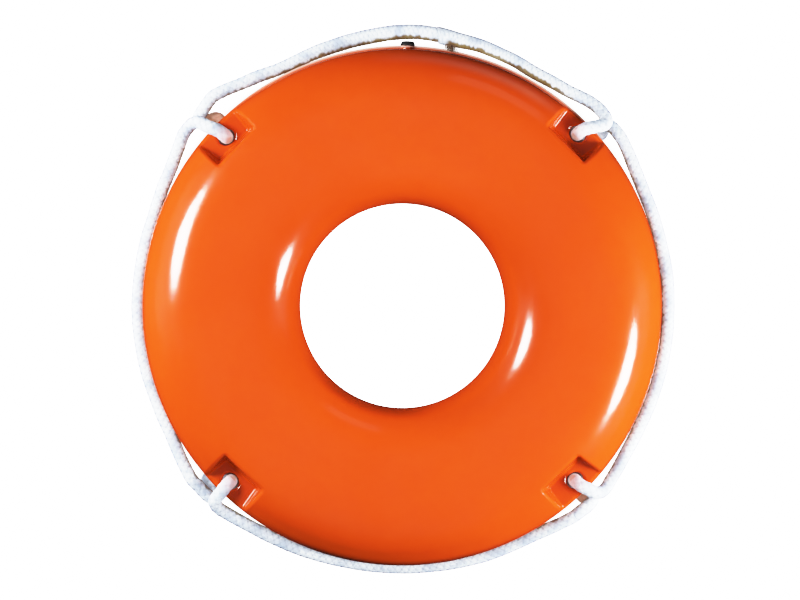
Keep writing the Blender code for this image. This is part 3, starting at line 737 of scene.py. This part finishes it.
def rope_piece(name, rings, closed_ends=(True, True)):
    points = rings["centre"][:, None] + rings["side"] * rings["r"][..., None] / 1000
    if "shift" in rings:
        points = points + tangent[rings["rows"]][:, None] * rings["shift"][..., None] / 1000
    n = len(points)
    verts = points.reshape(-1, 3)
    i, j = np.meshgrid(np.arange(n - 1), np.arange(SIDES), indexing="ij")
    k = (j + 1) % SIDES
    faces = np.stack([i * SIDES + j, i * SIDES + k, (i + 1) * SIDES + k, (i + 1) * SIDES + j], -1)
    faces = faces.reshape(-1, 4).tolist()
    faces.append(list(range(SIDES))[::-1])
    faces.append([(n - 1) * SIDES + q for q in range(SIDES)])
    o = add_mesh(name, verts, faces, LINE, recalc=False)
    for key, values in (("crease_shade", rings["depth"]), ("dirt_and_shade", rings["dirt_and_shade"]), ("edge_shade", rings["edge_shade"]),
                        ("tan", rings["tan"]), ("glow", rings["glow"])):
        a = o.data.attributes.new(key, "FLOAT", "POINT")
        a.data.foreach_set("value", values.astype(np.float32).ravel())
    o.visible_glossy = False          # the white line leaves no mirror image in the plastic
    return o


NODE_OF = {"loop_left": "line_left", "loop_bottom": "line_bottom", "loop_right": "line_right"}
spans_by_name = {name: (a, b) for name, a, b in spans}


def chord_blend(o, a, b):
    """Bakes the loop piece's transform into its mesh; the way out from the middle of its chord is worked out but not
    used.
    """
    p, q = centre[a], centre[b]
    middle = (p + q) / 2
    out = middle.copy()
    out[2] = 0
    axis = (q - p) / np.linalg.norm(q - p)
    out -= axis * np.dot(out, axis)
    out /= np.linalg.norm(out)
    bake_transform(o)


for name, a, b in spans:
    if name.startswith("hitch"):
        o = rope_piece(name.replace("hitch", "line_hitch"), braid(a, b))
        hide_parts(name)
        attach(o, "ring")
    elif name.startswith("loop"):
        o = rope_piece(name.replace("loop", "line_loop"), braid(a, b))
        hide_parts(NODE_OF[name])
        chord_blend(o, a, b)

# the top loop in its two runs: the left one goes into the mouth of the thicker right one
top_first = spans_by_name["top_right_run"][0]
top_last = spans_by_name["top_left_run"][1]
a, b = spans_by_name["top_left_run"]
rings = braid(a, b)
after = stations[rings["rows"]][:, None]                      # mm past the mouth
rings["shift"] = -4.0 * np.clip(1 - after / 7.0, 0, 1) * np.ones_like(rings["r"])
rings["r"] = rings["r"] - 0.5 * np.clip(1 - after / 4.0, 0, 1)
o = rope_piece("line_top_left", rings)
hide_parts("line_top_left_run")
chord_blend(o, top_first, top_last)

a, b = spans_by_name["top_right_run"]
rings = braid(a, b)
back = (stations[-1] - stations[rings["rows"]])[:, None]      # mm before the mouth
lip = np.clip(1 - back / 5.0, 0, 1)
rings["r"] = rings["r"] - 1.9 * (1 - np.sqrt(np.clip(1 - lip ** 2, 0, 1)))
rings["shift"] = smoothstep(-back, -16, 0) * np.where(rings["outward"] > 0, 0.3 + 3.4 * rings["outward"],
                                                      0.3 + 1.0 * rings["outward"])
# browner on the outer side over the last 7 mm before the mouth
rings["dirt_and_shade"] = np.maximum(rings["dirt_and_shade"], 0.30 * smoothstep(-back, -7, 0)
                           * smoothstep(rings["outward"], 0.2, 0.8))
o = rope_piece("line_top_right", rings)
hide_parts("line_top_right_run")
chord_blend(o, top_first, top_last)


# ----------------------------------------------------- the frayed, tucked end
def fray(count=130):
    verts, faces = [], []
    base = len(verts)
    for k in range(count):
        az = 79.5 + rng.normal(0, 0.62)
        start = on_ring(az, 257.4 + rng.uniform(-0.8, 0.9), -2.6 + rng.uniform(-2.6, 4.2))
        end = on_ring(az - 0.3 + rng.normal(0, 0.5), rng.uniform(249.4, 252.0), rng.uniform(2.2, 4.6))
        bend = np.array([rng.normal(0, 0.0006) for _ in range(3)])
        r0 = rng.uniform(0.16, 0.34) / 1000
        steps = 5
        way = (end - start) / np.linalg.norm(end - start)
        e1 = np.cross(way, (0, 0, 1.0))
        e1 /= np.linalg.norm(e1)
        e2 = np.cross(way, e1)
        base = len(verts)
        for i in range(steps + 1):
            t = i / steps
            c = start + (end - start) * t + bend * math.sin(math.pi * t)
            r = r0 * (1 - 0.7 * t)
            for q in range(5):
                ang = 2 * math.pi * q / 5
                verts.append(c + (e1 * math.cos(ang) + e2 * math.sin(ang)) * r)
        for i in range(steps):
            for q in range(5):
                faces.append([base + i * 5 + q, base + i * 5 + (q + 1) % 5,
                              base + (i + 1) * 5 + (q + 1) % 5, base + (i + 1) * 5 + q])
        faces.append([base + q for q in range(5)])
        faces.append([base + steps * 5 + q for q in range(5)])
    return add_mesh("tail_fray", verts, faces, FRAY)


tail = fray()
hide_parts("splice_tail")
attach(tail, "top_loop")


# ------------------------------------------------------------ light and floor
def softbox(name, azimuth, zenith, distance, wide, high, radiance, shape="RECTANGLE"):
    data = bpy.data.lights.new(name, "AREA")
    data.shape = shape
    data.size, data.size_y = wide, high
    data.energy = radiance * math.pi * wide * high * (math.pi / 4 if shape == "ELLIPSE" else 1.0)
    o = bpy.data.objects.new(name, data)
    a, t = math.radians(azimuth), math.radians(zenith)
    o.location = Vector((math.cos(a) * math.sin(t), math.sin(a) * math.sin(t), math.cos(t))) * distance
    o.rotation_mode = "QUATERNION"
    o.rotation_quaternion = o.location.to_track_quat("Z", "Y")
    o.visible_camera = False
    scene.collection.objects.link(o)
    return o


softbox("softbox_left", 162.8, 51.2, 1.229, 0.41, 0.355, 40.0, "ELLIPSE")
softbox("softbox_right", -17.2, 57.4, 1.227, 0.42, 0.350, 42.0, "ELLIPSE")
front = softbox("front", 0.0, 0.0, 2.6, 2.2, 2.2, 0.75)
front.visible_glossy = False
fill = softbox("fill_below", -96.0, 40.0, 2.2, 1.6, 1.0, 0.95)
fill.visible_glossy = False
for name, azimuth, radiance in (("side_left", 167.0, 9.4), ("side_right", -12.0, 12.0)):
    side = softbox(name, azimuth, 75.0, 0.90, 0.60, 0.42, radiance)
    side.visible_glossy = False
sheen = softbox("sheen_above", 66.0, 58.0, 1.9, 0.7, 0.5, 0.36)
under = softbox("under", 0.0, 180.0, 1.7, 2.0, 2.0, 1.3)
under.visible_glossy = False

world = bpy.data.worlds.new("world")
world.use_nodes = True
sky = world.node_tree
rays = sky.nodes.new("ShaderNodeLightPath")


def backdrop(colour):
    n = sky.nodes.new("ShaderNodeBackground")
    n.inputs["Color"].default_value = colour
    return n.outputs[0]


def either(chance, a, b):
    n = sky.nodes.new("ShaderNodeMixShader")
    for k, socket in enumerate((chance, a, b)):
        sky.links.new(socket, n.inputs[k])
    return n.outputs[0]


# the room is dim, dimmer still for mirror images, and white where it is looked at
room = either(rays.outputs["Is Glossy Ray"], backdrop((0.09, 0.09, 0.10, 1.0)), backdrop((0.020, 0.018, 0.018, 1.0)))
room = either(rays.outputs["Is Camera Ray"], room, backdrop((4.2, 4.2, 4.2, 1.0)))
sky.links.new(room, sky.nodes["World Output"].inputs["Surface"])
scene.world = world

# the floor is white, with the ring's contact shadow painted on it
floor_look = Nodes("pale_floor")
floor_look.put(Base_Color=(0.020, 0.008, 0.006, 1.0), Roughness=0.9, Specular_IOR_Level=0.0,
               Emission_Strength=4.2)
from_axis = floor_look.add("ShaderNodeVectorMath", operation="LENGTH")
floor_look.join(floor_look.place(), from_axis.inputs[0])
outside = floor_look.span(from_axis.outputs["Value"], 0.233, 0.262)
outside = floor_look.math("MULTIPLY", outside, outside)
outside = floor_look.math("MULTIPLY", outside, outside)
within = floor_look.span(from_axis.outputs["Value"], 0.106, 0.150, 1.0, 0.0)
colour = floor_look.mix(floor_look.math("MAXIMUM", outside, within), (0.012, 0.004, 0.003), (1.0, 1.0, 1.0))
floor_look.join(colour, floor_look.shader.inputs["Emission Color"])
floor = add_mesh("floor", np.array([(-6, -6, 0), (6, -6, 0), (6, 6, 0), (-6, 6, 0)], float), [[0, 1, 2, 3]],
                 floor_look.material, smooth=False, recalc=False)
floor.location.z = -0.0005
floor.visible_glossy = False
floor.visible_diffuse = False
floor.visible_shadow = False

scene.view_settings.view_transform = "Standard"
scene.view_settings.look = "None"
scene.view_settings.exposure = 0.0
scene.view_settings.gamma = 1.0
# a soft shoulder, as the photograph has: light values up to 4 still fit under white
scene.view_settings.use_curve_mapping = True
mapping = scene.view_settings.curve_mapping
mapping.clip_max_x = 4.0
mapping.extend = "HORIZONTAL"
mapping.black_level = (0.0, 0.0, 0.0)
mapping.white_level = (4.0, 4.0, 4.0)
tone = [(0.0, 0.0), (0.01, 0.0051), (0.02, 0.0125), (0.04, 0.031), (0.07, 0.064), (0.109, 0.114), (0.15, 0.172),
        (0.188, 0.231), (0.302, 0.371), (0.42, 0.51), (0.579, 0.68), (0.75, 0.79), (1.0, 0.887), (1.3, 0.928),
        (1.675, 0.956), (2.2, 0.98), (3.0, 0.995), (4.0, 1.0)]
curve = mapping.curves[3]
for k, (x, y) in enumerate(tone):
    if k < 1 or k == len(tone) - 1:
        point = curve.points[0 if k < 1 else -1]
        point.location = (x / 4, y)
    else:
        curve.points.new(x / 4, y)
for point in curve.points:
    point.handle_type = "AUTO_CLAMPED"
mapping.update()
